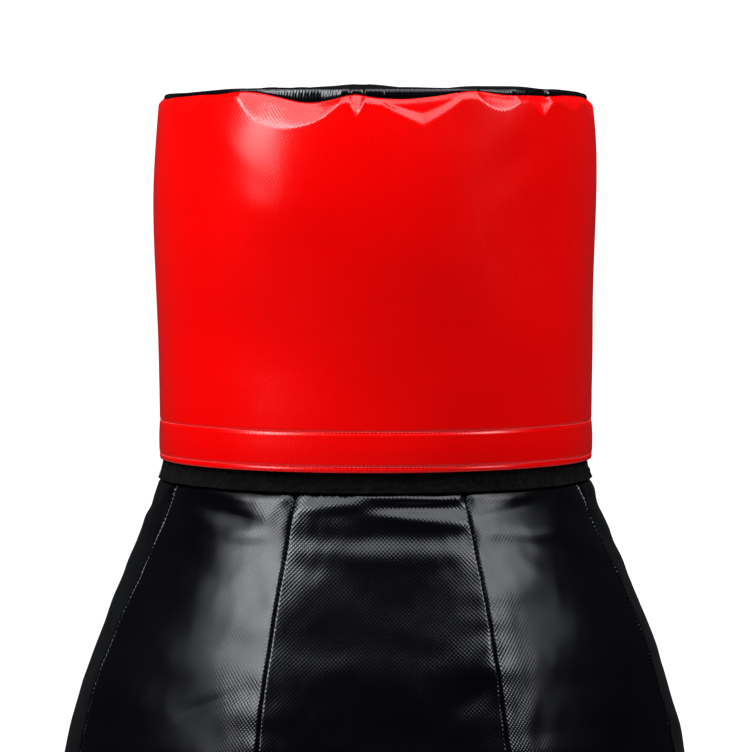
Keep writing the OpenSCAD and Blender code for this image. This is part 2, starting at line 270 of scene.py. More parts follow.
class Nodes:
    """A small helper that adds nodes to a material and links them."""

    def __init__(self, name):
        self.material = bpy.data.materials.new(name)
        self.material.use_nodes = True
        self.tree = self.material.node_tree
        self.shader = self.tree.nodes["Principled BSDF"]

    def add(self, kind, **settings):
        node = self.tree.nodes.new(kind)
        for key, value in settings.items():
            setattr(node, key, value)
        return node

    def link(self, source, target):
        self.tree.links.new(source, target)

    def math(self, operation, a, b=None, c=None):
        node = self.add("ShaderNodeMath", operation=operation)
        for socket, value in zip(node.inputs, (a, b, c)):
            if value is None:
                continue
            if isinstance(value, (int, float)):
                socket.default_value = value
            else:
                self.link(value, socket)
        return node.outputs[0]

    def coordinate(self, scale=(1, 1, 1), uv=False):
        source = self.add("ShaderNodeTexCoord")
        mapping = self.add("ShaderNodeMapping")
        mapping.inputs["Scale"].default_value = scale
        self.link(source.outputs["UV" if uv else "Object"], mapping.inputs["Vector"])
        return mapping.outputs["Vector"]

    def noise(self, vector, scale, detail=3.0, roughness=0.5):
        node = self.add("ShaderNodeTexNoise")
        node.inputs["Scale"].default_value = scale
        node.inputs["Detail"].default_value = detail
        node.inputs["Roughness"].default_value = roughness
        self.link(vector, node.inputs["Vector"])
        return node.outputs["Fac"]

    def ramp(self, value, low, high, from_value, to_value):
        """Maps a value from low..high to from_value..to_value, held at both ends."""
        node = self.add("ShaderNodeMapRange")
        ends = {"From Min": low, "From Max": high, "To Min": from_value, "To Max": to_value}
        for name, number in ends.items():
            node.inputs[name].default_value = number
        self.link(value, node.inputs["Value"])
        return node.outputs["Result"]

    def colour(self, value, dark, light):
        node = self.add("ShaderNodeMix", data_type="RGBA")
        node.inputs["A"].default_value = (*dark, 1)
        node.inputs["B"].default_value = (*light, 1)
        self.link(value, node.inputs["Factor"])
        return node.outputs["Result"]

    def weave(self, pitch):
        """Height of a plain weave under a coating, from the cloth's own UV in metres."""
        split = self.add("ShaderNodeSeparateXYZ")
        self.link(self.coordinate(uv=True), split.inputs[0])
        waves = []
        for axis in (0, 1):
            turns = self.math("MULTIPLY", split.outputs[axis], math.pi / pitch)
            waves.append(self.math("COSINE", turns))
        return self.math("MULTIPLY", *waves)

    def bump(self, height, distance, strength=1.0, before=None):
        node = self.add("ShaderNodeBump")
        node.inputs["Strength"].default_value = strength
        node.inputs["Distance"].default_value = distance
        self.link(height, node.inputs["Height"])
        if before is not None:
            self.link(before, node.inputs["Normal"])
        return node.outputs["Normal"]

    def finish(self, **values):
        """Sets the shader's own sockets: a number or colour directly, anything else as a link."""
        for name, value in values.items():
            socket = self.shader.inputs[name.replace("_", " ")]
            if isinstance(value, bpy.types.NodeSocket):
                self.link(value, socket)
            elif isinstance(value, tuple):
                socket.default_value = (*value, 1)
            else:
                socket.default_value = value
        return self.material


def vinyl(name, dark, light, gloss, weave_height, level):
    """Glossy coated fabric: weave pressing through, faint scuffs and uneven shine."""
    n = Nodes(name)
    where = n.coordinate()
    patches = n.noise(where, 9.0, 4.0)
    fine = n.noise(where, 900.0, 2.0)
    scuffs = n.noise(n.coordinate((40, 40, 6)), 3.0, 6.0, 0.7)
    shine = n.math("ADD", n.ramp(patches, 0.3, 0.7, gloss - 0.04, gloss + 0.05),
                   n.ramp(scuffs, 0.55, 0.8, 0.0, 0.04))
    grain = n.bump(fine, 0.00004, 0.5)
    normal = n.bump(n.weave(WEAVE_PITCH), weave_height, 1.0, grain)
    return n.finish(Base_Color=n.colour(patches, dark, light), Roughness=shine, Normal=normal,
                    IOR=1.5, Specular_IOR_Level=level)


def cloth(name, dark, light, pitch, height, roughness=0.9, sheen=0.0, shine=0.25):
    """Matte woven or felted fabric; pitch and height are those of its strands, in metres."""
    n = Nodes(name)
    where = n.coordinate()
    tone = n.noise(where, 120.0, 5.0, 0.65)
    strands = n.noise(n.coordinate((1, 1, 3)), 1 / pitch, 3.0, 0.6)
    normal = n.bump(strands, height)
    colour = n.colour(n.ramp(tone, 0.3, 0.7, 0, 1), dark, light)
    return n.finish(Base_Color=colour, Roughness=roughness, Normal=normal,
                    Sheen_Weight=sheen, Sheen_Roughness=0.5, Specular_IOR_Level=shine)


def plastic(name, dark, light, roughness):
    n = Nodes(name)
    where = n.coordinate()
    tone = n.noise(where, 300.0, 3.0)
    grain = n.bump(n.noise(where, 2500.0, 2.0), 0.00003)
    uneven = n.ramp(tone, 0.3, 0.7, roughness - 0.05, roughness + 0.08)
    return n.finish(Base_Color=n.colour(tone, dark, light), Roughness=uneven, Normal=grain)


def metal(name, dark, light, roughness):
    n = Nodes(name)
    tone = n.noise(n.coordinate((1, 1, 20)), 400.0, 3.0)
    drawn = n.ramp(tone, 0.3, 0.7, roughness - 0.05, roughness + 0.1)
    return n.finish(Base_Color=n.colour(tone, dark, light), Metallic=1.0, Roughness=drawn)


WEAVE_PITCH = 1.27 * MM  # 20 threads to the inch
BLACK_VINYL = vinyl("black_vinyl", (0.0008, 0.0008, 0.0014), (0.0020, 0.0020, 0.0030),
                    gloss=0.21, weave_height=0.00006, level=0.32)
RED_VINYL = vinyl("red_vinyl", (0.56, 0.0, 0.0), (0.63, 0.0002, 0.0002),
                  gloss=0.24, weave_height=0.000025, level=0.34)
LOOP_PILE = cloth("loop_pile", (0.0006, 0.0006, 0.0006), (0.004, 0.004, 0.0045), 0.7 * MM, 0.0006,
                  roughness=0.95, sheen=0.02, shine=0.1)
HOOK_PILE = cloth("hook_pile", (0.008, 0.008, 0.009), (0.02, 0.02, 0.022), 1.1 * MM, 0.0005, 0.6)
WEBBING = cloth("webbing", (0.012, 0.012, 0.013), (0.03, 0.03, 0.032), 1.6 * MM, 0.0004, 0.8)
WOVEN_BAG = cloth("woven_bag", (0.42, 0.39, 0.31), (0.62, 0.58, 0.48), 2.0 * MM, 0.0003, 0.8)
FOAM = cloth("foam", (0.22, 0.23, 0.24), (0.36, 0.37, 0.38), 0.9 * MM, 0.0003, 0.95)
SCRAP = cloth("textile_scrap", (0.10, 0.09, 0.10), (0.42, 0.36, 0.28), 4.0 * MM, 0.003, 0.95)
BLACK_THREAD = cloth("black_thread", (0.002, 0.002, 0.003), (0.006, 0.006, 0.007), 0.3 * MM, 0.0001,
                     roughness=0.9, shine=0.06)
RED_THREAD = cloth("red_thread", (0.80, 0.02, 0.02), (0.95, 0.09, 0.09), 0.3 * MM, 0.0001, 0.6)
CORD = cloth("cord", (0.02, 0.02, 0.022), (0.07, 0.07, 0.075), 0.9 * MM, 0.0004, 0.7)
LOCK_PLASTIC = plastic("lock_plastic", (0.012, 0.012, 0.014), (0.02, 0.02, 0.022), 0.4)
SPRING_STEEL = metal("spring_steel", (0.5, 0.5, 0.52), (0.68, 0.68, 0.7), 0.25)


# ---- trunk ----

# creases in the cover of one gore: (gore, place across it from -1 to 1, depth below the neck seam,
# half length, half width, height of the ridge, fall towards +u for each unit of length), in mm
CREASES = [
    (0, 0.45, 3, 48, 3.0, 1.7, 0.02),
    (0, 0.50, 9, 36, 3.5, -1.7, 0.03),
    (0, 0.50, 17, 42, 4.5, 1.4, 0.10),
    (0, 0.10, 26, 60, 6.0, -0.9, 0.02),
    (0, 0.00, 39, 80, 7.0, 0.8, 0.02),
    (0, -0.60, 8, 30, 4.0, 0.9, -0.10),
    (0, 0.90, 96, 34, 12, 1.2, -0.5),
    (0, 0.85, 118, 30, 7, -1.2, -0.55),
    (7, 0.35, 4, 44, 3.5, 1.5, 0.04),
    (7, 0.05, 14, 34, 4.5, -1.7, 0.16),
    (7, 0.20, 24, 42, 5.5, 1.4, 0.12),
    (7, -0.40, 40, 30, 7.0, -1.2, 0.2),
    (7, 0.45, 128, 30, 5.0, -0.9, -0.4),
    (1, -0.40, 3, 34, 3.5, 1.2, -0.02),
    (1, -0.20, 12, 50, 5.0, -1.5, -0.04),
    (1, -0.30, 26, 46, 6.0, 1.2, 0.02),
    (1, 0.30, 44, 40, 8.0, -1.3, 0.1),
]


def creases(gore, u, arc, z):
    """Sum of the named creases of one gore, and a few seeded ones lower down."""
    height = np.zeros(z.shape)
    drop = (NECK_Z - z) / MM
    half_arc = arc / MM
    across = u * half_arc
    rng = np.random.RandomState(400 + gore)
    near_neck = [] if gore in (7, 0, 1) else [
        (gore, rng.uniform(-0.6, 0.6), 5 + 12 * k + rng.uniform(-2, 2), rng.uniform(26, 60),
         4.0 + 0.9 * k, (0.9 - 0.1 * k) * (-1) ** k, rng.uniform(-0.1, 0.1))
        for k in range(5)
    ]
    lower = [
        (gore, rng.uniform(-0.9, 0.9), rng.uniform(150, 1100), rng.uniform(20, 60),
         rng.uniform(4, 9), rng.uniform(-1.5, 0.9), rng.uniform(-0.4, 0.4))
        for k in range(26)
    ]
    for which, place, depth, long, wide, tall, fall in CREASES + near_neck + lower:
        if which != gore:
            continue
        dx = across - place * half_arc
        dz = drop - depth - fall * dx + 0.0016 * dx * dx * np.sign(tall)
        height += tall * bell(dz, wide) * bell(dx, long)
    return height * MM


CLOTH_T = 0.9 * MM  # thickness of the coated fabric
GORE_CELLS = 26  # cells of the simulated cover across one gore
SEAM_DEPTH = 0.8 * MM  # how far the seams are pinned inside the plain outline
SETTLE_STEPS = 30  # frames of the cover's simulation
MOST_SLACK = 0.08  # spare cloth where the simulated cover is loosest, as a share of its length
ALLOWANCE = 6 * MM  # cloth turned in at each side of a gore
TURNED_IN = 0.96  # share of the radius at which the turned-in cloth ends
PANEL_FLAT = 5.0  # mm by which seams stand out past the middle of a gore, which lies flatter than round
WEBBING_DEPTH = 3.4 * MM  # how far the webbing and the inner bag lie under the cover's outside
BAG_DEPTH = 5.0 * MM


def cover_rows():
    """Heights of the simulated cover's rows, from the neck down, finer where it is creased."""
    drops = [0.0]
    while drops[-1] < NECK_Z - FOOT_SEAM_Z - 0.006:
        drops.append(drops[-1] + (3.4 + 6.6 * smooth(drops[-1], 0.15, 0.45)) * MM)
    return NECK_Z - np.array(drops)


def cylinder_offsets(points, angle, z):
    """How far points lie outwards, round and up from the plain outline."""
    outwards = np.hypot(points[..., 0], points[..., 1]) - trunk_r(z)
    swing = np.arctan2(points[..., 1], points[..., 0]) - angle
    swing = (swing + math.pi) % TAU - math.pi
    return np.stack([outwards, swing, points[..., 2] - z], axis=-1)


def settle_cover():
    """Cover blown up inside its pinned seams by the stuffing, with some slack cloth at each seam."""
    columns = len(GORES) * GORE_CELLS
    z, column = np.meshgrid(cover_rows(), np.arange(columns), indexing="ij")
    angle = FIRST_ANGLE - GORE_ANGLE / 2 + column * TAU / columns
    from_seam = np.minimum(column % GORE_CELLS, -column % GORE_CELLS)
    at_seam = from_seam == 0
    uneven = np.random.RandomState(5).normal(scale=0.2 * MM, size=z.shape)
    radius = trunk_r(z) + np.where(at_seam, -SEAM_DEPTH, uneven)
    start = round_points(radius, angle, z)
    cover = grid_object("settling_cover", start[::-1], wrap=True)
    held = at_seam.copy()
    held[[0, -1]] = True
    arc = from_seam * GORE_ANGLE / GORE_CELLS * GIRTH_R
    gathered = np.exp(-arc / 0.018) * (0.6 + 0.4 * np.sin(z * 41 + column // GORE_CELLS))
    slack = 0.001 + 0.008 * gathered + 0.004 * smooth(z, NECK_Z - 0.09, NECK_Z)
    for name, weights in (("held", held * 1.0), ("snug", 1 - slack / MOST_SLACK)):
        group = cover.vertex_groups.new(name=name)
        weights = np.round(weights[::-1], 2).ravel()
        for weight in np.unique(weights[weights > 0]):
            group.add(np.nonzero(weights == weight)[0].tolist(), float(weight), "REPLACE")
    simulation = cover.modifiers.new("settling", "CLOTH")
    settings = simulation.settings
    settings.quality = 5
    settings.mass = 0.3
    settings.air_damping = 2
    settings.tension_stiffness = 40
    settings.compression_stiffness = 40
    settings.shear_stiffness = 10
    settings.bending_stiffness = 6
    settings.use_pressure = True
    settings.uniform_pressure_force = 5
    settings.vertex_group_mass = "held"
    settings.vertex_group_shrink = "snug"
    settings.shrink_min = -MOST_SLACK
    settings.shrink_max = 0
    settings.effector_weights.gravity = 0
    simulation.collision_settings.use_collision = False
    simulation.point_cache.frame_end = SETTLE_STEPS
    for step in range(SETTLE_STEPS):
        bpy.context.scene.frame_set(step + 1)
    graph = bpy.context.evaluated_depsgraph_get()
    settled = cover.evaluated_get(graph).to_mesh()
    flat = np.zeros(len(settled.vertices) * 3)
    settled.vertices.foreach_get("co", flat)
    bpy.data.objects.remove(cover)
    bpy.context.scene.frame_set(1)
    offsets = cylinder_offsets(flat.reshape(start.shape)[::-1], angle, z)
    offsets[..., 0] = np.clip(offsets[..., 0], -6 * MM, 12 * MM)
    return offsets


def soften(offsets, passes=3):
    """Takes the finest ripples and the even crown out of the settled cover, and leaves its folds."""
    for _ in range(passes):
        between = (offsets[:-2] + 2 * offsets[1:-1] + offsets[2:]) / 4
        offsets = np.concatenate([offsets[:1], between, offsets[-1:]])
    crown = offsets[..., 0].reshape(len(offsets), len(GORES), GORE_CELLS).mean(axis=(0, 1))
    offsets[..., 0] -= np.tile(crown, len(GORES)) * smooth(NECK_Z - cover_rows(), 0, 0.02)[:, None]
    return offsets


def cubic(values, position, wrap):
    """Indices and Catmull-Rom weights of a list's entries for fractional positions in it."""
    count = len(values)
    base = np.floor(position).astype(int)
    t = (position - base)[..., None]
    pick = [(base + k) % count if wrap else np.clip(base + k, 0, count - 1) for k in (-1, 0, 1, 2)]
    weights = ((-t + 2 * t**2 - t**3) / 2, (2 - 5 * t**2 + 3 * t**3) / 2,
               (t + 4 * t**2 - 3 * t**3) / 2, (t**3 - t**2) / 2)
    return pick, weights


def cover_offsets(place, z):
    """Settled offsets at a place round the trunk, counted in gores, and a height."""
    rows = cover_rows()
    row = np.interp(-z, -rows, np.arange(len(rows)))
    column = (place + 0.5) * GORE_CELLS
    row_pick, row_weight = cubic(SETTLED, row, False)
    column_pick, column_weight = cubic(SETTLED[0], column, True)
    total = 0
    for r, rw in zip(row_pick, row_weight):
        total = total + rw * sum(cw * SETTLED[r, c] for c, cw in zip(column_pick, column_weight))
    return total


def trunk_points(gore, u, z, depth=0.0):
    """Outside of the cover at a place across one gore (-1 to 1) and a height, or some depth under it."""
    radius = trunk_r(z)
    arc = radius * GORE_ANGLE / 2
    place = gore + u / 2
    angle = FIRST_ANGLE + place * GORE_ANGLE
    seam = (1 - np.abs(u)) * arc
    points = round_points(radius, angle, z)
    moved = cover_offsets(place, z)
    wide = lumps(points, 0.16, 1) * 0.8 + lumps(points * np.array([1, 1, 1.8]), 0.07, 2) * 0.35
    side = np.where(u > 0, gore + 1, gore) % len(GORES)
    along = z * TAU / 0.017 + 3 * np.sin(z * 21 + side * 2.3) + side
    tug = 0.5 + 0.5 * np.sin(z * 37 + side * 1.7) * np.sin(z * 11 + side)
    pucker = 0.7 * np.sin(along) * tug * np.exp(-seam / 0.007) * (1 - np.exp(-seam / 0.002))
    groove = -1.1 * bell(seam, 0.0006)
    ends = smooth(NECK_Z - z, 0, 0.012) * smooth(z - FOOT_SEAM_Z, 0, 0.012)
    flat = PANEL_FLAT * (u**2 + 0.25) * smooth(NECK_Z - z, 0, 0.09) * smooth(z - FOOT_SEAM_Z, 0, 0.06)
    height = flat + (wide + pucker) * ends + groove
    height += creases(gore, u, arc, z) / MM * (1 - bell(seam, 0.003))
    height -= 0.8 * bell(NECK_Z - z, 0.0015)
    outside = radius + moved[..., 0] + height * MM
    return round_points(outside - depth, angle + moved[..., 1], z + moved[..., 2])


def trunk_heights(step=3.1 * MM):
    """Heights of a gore's rows, closer together near the neck."""
    rows = np.linspace(FOOT_SEAM_Z + 0.001, NECK_Z, int((NECK_Z - FOOT_SEAM_Z) / step))
    top = np.linspace(NECK_Z - 0.16, NECK_Z, 110)
    return np.concatenate([rows[rows < NECK_Z - 0.161], top])


def gore_columns(count=52):
    """Places across a gore, closer together at its two seams."""
    t = np.linspace(-1, 1, count)
    return np.sign(t) * (1 - (1 - np.abs(t)) ** 1.6)


def make_gore(number):
    """One gore of the cover, with its seam allowances turned inwards."""
    rows, columns = trunk_heights(), gore_columns()
    z, u = np.meshgrid(rows, columns, indexing="ij")
    points = trunk_points(number, u, z)
    edges = points[:, [0, -1]] * np.array([TURNED_IN, TURNED_IN, 1])
    points = np.concatenate([edges[:, :1], points, edges[:, 1:]], axis=1)
    across = u * trunk_r(z) * GORE_ANGLE / 2
    across = np.concatenate([across[:, :1] - ALLOWANCE, across, across[:, -1:] + ALLOWANCE], axis=1)
    uvs = np.stack([across, np.repeat(z[:, :1], across.shape[1], axis=1)], axis=-1)
    gore = thicken(grid_object(f"cover_{GORES[number]}", points, uvs), CLOTH_T)
    dress(gore, BLACK_VINYL, replaces=[GORES[number]])
    width, length, area = ring_cut(trunk_r, FOOT_SEAM_Z, NECK_Z)
    return bend_with_neck(gore)


def layer(name, node, depth, material, slot, rows, columns):
    """A ring under the cover that follows its shape at some depth."""
    low, high = (corner.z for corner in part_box(node))
    count = len(GORES)
    places = np.linspace(0, count, columns, endpoint=False)
    z, place = np.meshgrid(np.linspace(low, high, rows), places, indexing="ij")
    points = np.zeros((*z.shape, 3))
    for gore in range(count):
        from_middle = (place - gore + count / 2) % count - count / 2
        inside = np.abs(from_middle) <= 0.5
        points[inside] = trunk_points(gore, from_middle[inside] * 2, z[inside], depth)
    uvs = np.stack([place * GORE_ANGLE * GIRTH_R, z], axis=-1)
    ring = thicken(grid_object(name, points, uvs, wrap=True), 1.0 * MM)
    dress(ring, material, replaces=[node])
    width, length, area = ring_cut(trunk_r, low, high)
    return bend_with_neck(ring)


def make_stuffing(name, node, inset, seed):
    """Packed scrap: the CAD solid's own surface, drawn in and made lumpy."""
    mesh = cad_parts[node].data.copy()
    mesh.name = name
    obj = add_object(name, mesh)
    remesh = obj.modifiers.new("remesh", "REMESH")
    remesh.mode = "VOXEL"
    remesh.voxel_size = 0.012
    apply_modifiers(obj)
    points = mesh_points(obj.data)
    middle_z = 0.5 * (points[:, 2].min() + points[:, 2].max())
    flat = points * np.array([1, 1, 0])
    reach = np.linalg.norm(flat, axis=1, keepdims=True) + 1e-6
    drawn = (inset + 1.5 * MM * lumps(points, 0.035, seed))[:, None]
    points = points - flat / reach * np.clip(drawn, 0, None) * np.clip(reach / 0.03, 0, 1)
    points[:, 2] -= np.sign(points[:, 2] - middle_z) * inset * 0.4
    obj.data.vertices.foreach_set("co", points.ravel())
    obj.data.polygons.foreach_set("use_smooth", [True] * len(obj.data.polygons))
    obj.data.update()
    dress(obj, SCRAP, replaces=[node])
    return obj


def apply_modifiers(obj):
    """Replaces an object's mesh by what its modifiers make of it."""
    bpy.context.view_layer.update()
    graph = bpy.context.evaluated_depsgraph_get()
    mesh = bpy.data.meshes.new_from_object(obj.evaluated_get(graph))
    obj.modifiers.clear()
    obj.data = mesh


def seam_directions(line):
    """Unit directions along a line of points and outwards from the trunk there."""
    along = unit(np.gradient(line, axis=0))
    outwards = line * np.array([1, 1, 0])
    return along, unit(outwards - along * np.sum(along * outwards, axis=1, keepdims=True))


def make_gore_stitches():
    """Lockstitch over each seam between two gores, pulled into its groove."""
    z = np.arange(FOOT_SEAM_Z + 0.004, NECK_Z - 0.002, 2.56 * MM)
    centres, ways, outs = [], [], []
    for number in range(len(GORES)):
        line = trunk_points(number, np.full(z.shape, 0.985), z)
        along, outwards = seam_directions(line)
        centres.append(line + outwards * 0.1 * MM)
        ways.append(along)
        outs.append(outwards)
    stitches = thread_object("gore_stitches", np.concatenate(centres), np.concatenate(ways),
                             np.concatenate(outs), 2.0 * MM, 0.36 * MM)
    dress(stitches, BLACK_THREAD)
    bend_with_neck(stitches)


def make_bottom():
    """Doubled bottom panel: flat on the floor, turned up at the rim to its seam."""
    edge_r = trunk_r(np.array([FOOT_SEAM_Z]))[0]
    flat_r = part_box("bottom_panel")[1].x - (edge_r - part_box("foot_pad")[1].x) - 0.012
    seam = FOOT_SEAM_Z / MM
    # radius in metres, height in mm
    inside = [(0.0008, 2.4), (0.5 * flat_r, 2.4), (edge_r - 10 * MM, 2.6), (edge_r - 3.2 * MM, seam + 1.2)]
    outside = [(edge_r - 0.4 * MM, seam + 1.2), (edge_r - 2.2 * MM, seam - 1.0), (edge_r - 5.5 * MM, 1.2),
               (edge_r - 9.5 * MM, 0.15), (edge_r - 14 * MM, 0.0), (0.6 * flat_r, 0.0), (0.0008, 0.0)]
    r, a, z = revolve(np.array(inside + outside), 192)
    points = round_points(r, a, z * MM)
    panel = grid_object("cover_bottom_panel", points, points[..., :2], wrap=True)
    dress(panel, BLACK_VINYL, "trunk", ["bottom_panel"])


# ---- head ----

def make_sleeve():
    """Head's tube of coated fabric: creased wall, and a crown gathered into the mouth."""
    edge = 12 * MM
    flare_z = np.linspace(NECK_Z + 0.001, NECK_Z + 0.010, 6)
    flare = list(zip(outline("head_sleeve")(flare_z), flare_z))
    wall = [(SLEEVE_R, z) for z in np.linspace(NECK_Z + 0.012, HEAD_TOP_Z - edge, 90)]
    turn = [(SLEEVE_R - edge + edge * math.cos(a), HEAD_TOP_Z - edge + edge * math.sin(a))
            for a in np.linspace(0.15, math.pi / 2, 9)]
    crown = [(r, HEAD_TOP_Z) for r in np.linspace(SLEEVE_R - edge - 0.004, MOUTH_R + 0.004, 26)]
    collar = [(MOUTH_R + 0.001, HEAD_TOP_Z - 0.001), (MOUTH_R, HEAD_TOP_Z - 0.004),
              (MOUTH_R, HEAD_TOP_Z - 0.011)]
    profile = np.array(flare + wall + turn + crown + collar)
    r, a, z = revolve(profile, 320)
    points = round_points(r, a, z)
    on_wall = smooth(z, TAPE_TOP_Z, TAPE_TOP_Z + 0.02) * smooth(HEAD_TOP_Z - z, 0.0, 0.02)
    dents = (lumps(points * np.array([1, 1, 2.2]), 0.08, 11) - 1.6) * 0.9 * MM * on_wall
    on_crown = smooth(SLEEVE_R - r, 0.004, 0.03) * smooth(r, MOUTH_R - 0.004, MOUTH_R + 0.012)
    gathers = np.sin(a * 26 + 1.5 * np.sin(a * 3))
    fold = gathers * smooth(SLEEVE_R - r, 0.0, 0.06)
    z = z + on_crown * (fold * 1.1 - 1.2) * MM
    ripple = 0.7 * MM * gathers * (r < MOUTH_R + 0.003)
    points = round_points(r + dents - ripple, a, z)
    along = np.concatenate([[0], np.cumsum(np.hypot(*np.diff(profile, axis=0).T))])
    uvs = np.stack([a * SLEEVE_R, np.repeat(along[:, None], a.shape[1], axis=1)], axis=-1)
    sleeve = thicken(grid_object("cover_head_sleeve", points, uvs, wrap=True), 1.0 * MM)
    dress(sleeve, BLACK_VINYL, "head", ["head_sleeve"])


def make_loop_tape():
    """Loop side of the fastening, its pile matted and linty where it shows."""
    rows = np.concatenate([np.linspace(NECK_Z + 0.0004, NECK_Z + 0.02, 40),
                           np.linspace(NECK_Z + 0.021, TAPE_TOP_Z, 30)])
    z, a = once_round(rows, 900)
    outer = outline("loop_tape")
    radius = outer(z) + 0.3 * MM * smooth(HOOD_Z - z, 0, 0.003)
    points = round_points(radius, a, z)
    matted = lumps(points, 0.004, 21, 40) * 0.22 + lumps(points, 0.02, 22) * 0.3
    radius = radius + matted * MM * smooth(HOOD_Z - z, -0.001, 0.002)
    points = round_points(radius, a, z)
    inner = round_points(outer(z[::-1]) - 1.3 * MM, a[::-1], z[::-1])
    tape = grid_object("pile_loop_tape", np.concatenate([points, inner]), wrap=True, closed=True)
    dress(tape, LOOP_PILE, "head", ["loop_tape"])
    width, length, area = ring_cut(outer, NECK_Z + 0.0004, TAPE_TOP_Z)


def make_lint():
    """Loose fibres standing out of the bare strip of loop tape."""
    rng = np.random.RandomState(31)
    count = 5200
    angle = rng.uniform(0, TAU, count)
    z = rng.uniform(NECK_Z + 0.001, HOOD_Z + 0.0005, count)
    radius = outline("loop_tape")(z) + 0.35 * MM
    centres = round_points(radius, angle, z)
    out = round_points(np.ones(count), angle, rng.uniform(-0.6, 0.6, count))
    out = unit(out + rng.normal(scale=0.5, size=out.shape))
    side = unit(np.cross(out, rng.normal(size=out.shape)))
    long = rng.uniform(0.5, 1.6, count)[:, None] * MM
    thin = 0.035 * MM
    third = np.cross(out, side)
    base = [centres + thin * side, centres - thin * side * 0.5 + thin * third,
            centres - thin * side * 0.5 - thin * third]
    bend = centres + out * long * 0.6 + side * long * 0.15
    tip = centres + out * long * 0.8 + side * long * 0.55
    mid = [bend + (b - centres) * 0.8 for b in base]
    points = np.stack([*base, *mid, tip], axis=1)
    fibre = []
    for k in range(3):
        m = (k + 1) % 3
        fibre += [[k, m, 3 + m, 3 + k], [3 + k, 3 + m, 6]]
    fibre.append([2, 1, 0])
    lint = new_object("loop_tape_lint", points, repeated(fibre, 7, count))
    dress(lint, LOOP_PILE, "head")


def make_tunnel():
    """Soft folded tunnel round the drawcord, open where the cord leaves it."""
    low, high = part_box("cord_tunnel")
    middle_z, half = 0.5 * (low.z + high.z), 0.5 * (high.z - low.z)
    centre_r = MOUTH_R - half
    gap = 0.16  # half the opening, in radians
    a = np.linspace(gap, TAU - gap, 300)
    k = np.linspace(0, TAU, 28, endpoint=False)
    a, k = np.meshgrid(a, k, indexing="ij")
    swell = (half - 0.3 * MM) * (1 + 0.05 * np.sin(a * 52 + 1.5 * np.sin(a * 3)))
    points = round_points(centre_r + swell * np.cos(k), a, middle_z + swell * np.sin(k))
    uvs = np.stack([a * centre_r, k * half], axis=-1)
    tunnel = thicken(grid_object("cover_cord_tunnel", points, uvs, wrap=True), CLOTH_T)
    dress(tunnel, BLACK_VINYL, "head", ["cord_tunnel"])


# ---- hood ----

STITCH_ROWS = (3.2, 24.6)  # mm above the hem's edge
HOOD_COLUMNS = 720  # points round the wall and the top, which share their seam

# rise or dip of the top seam: (degrees to the right of the front, half width in degrees, height in mm)
SEAM_BUMPS = [(-80, 9, -1.4), (-52, 9, 1.2), (-37, 8, 3.2), (-18, 7.5, -3.6), (-5.5, 3.5, 1.8),
              (7, 7, -1.4), (27, 8, 3.6), (44, 8, 0.9), (63, 9, 0.9), (88, 8, -1.4)]

# puffed sections of the wall under the top seam: (middle and half width in degrees, depth in mm below
# the seam, how far the seam draws it in in mm, share of the depth that lies back flat, 1 for a V or
# 2 for a bow)
SECTIONS = [(-80, 8, 11, 2.5, 0.0, 2), (-60, 10, 11, 3.4, 0.1, 2), (-23.5, 16, 19, 6.6, 0.0, 2),
            (-4.8, 2.6, 14, 5.4, 0.0, 1), (12.5, 13.5, 17, 3.2, 0.55, 1), (34, 8, 9, 3.2, 0.1, 2),
            (48.5, 6.5, 12, 3.8, 0.2, 1), (64, 8, 9, 3.0, 0.0, 2), (80, 6, 13, 3.0, 0.0, 2)]

# soft dents and ridges of the wall: (degrees, mm below the seam, half length, half width, height, fall)
DENTS = [(-29, 56, 20, 11, -0.5, 0.55), (-40, 30, 34, 12, 0.3, 0.9), (-24, 66, 26, 16, 0.6, 0.2),
         (38, 40, 30, 16, -0.8, -0.5), (10, 90, 60, 30, 0.5, 0.1), (70, 120, 30, 40, -0.8, 0.3),
         (-74, 150, 34, 50, -0.7, -0.3)]


def from_front(angle):
    """Degrees to the right of the front for an angle about the upright axis."""
    return (np.degrees(angle) + 270) % 360 - 180


def behind(first, step, draw_row):
    """Seeded entries for the back half, one every step degrees."""
    return [draw_row(middle % 360) for middle in np.arange(first, 360 - first, step)]


def complete_lists():
    """Extends the lists given for the front to the sides and back of the hood."""
    rng = np.random.RandomState(90)
    SEAM_BUMPS.extend(behind(104, 17, lambda m: (m + rng.uniform(-4, 4), 8, rng.uniform(-2.6, 2.6))))
    SECTIONS.extend(behind(97, 14, lambda m: (
        m + rng.uniform(-3, 3), rng.uniform(4, 11), rng.uniform(8, 17), rng.uniform(4, 6),
        rng.choice([0.1, 0.5]), rng.choice([1, 2]))))
    DENTS.extend(behind(100, 24, lambda m: (
        m, rng.uniform(30, 160), rng.uniform(15, 40), rng.uniform(9, 24), rng.uniform(-1.6, 1.1),
        rng.uniform(-0.7, 0.7))))


def turned(turn, middle):
    """Degrees from a middle, the short way round."""
    return (turn - middle + 180) % 360 - 180


def seam_wave(angle):
    """Height of the top seam above its mean, in metres."""
    turn = from_front(angle)
    return sum(height * bell(turned(turn, middle), half) for middle, half, height in SEAM_BUMPS) * MM


def seam_roll(angle, drop):
    """How far the wall is drawn in under the top seam, section by section, in mm."""
    turn = from_front(angle)
    reach, draw, back = np.full(turn.shape, 4.0), np.full(turn.shape, 2.0), np.zeros(turn.shape)
    for middle, half, depth, inwards, share, power in SECTIONS:
        x = np.abs(turned(turn, middle)) / half
        local = depth * np.clip(1 - x**power, 0, 1)
        deeper = local > reach
        reach = np.where(deeper, local, reach)
        draw = np.where(deeper, 2 + (inwards - 2) * smooth(1 - x, 0, 0.5), draw)
        back = np.where(deeper, share, back)
    t = (drop / MM / reach - back) / (1.02 - back)
    return -draw * (0.8 * np.clip(1 - t, 0, 1) + 0.2 * (1 - smooth(t, 0, 1)))


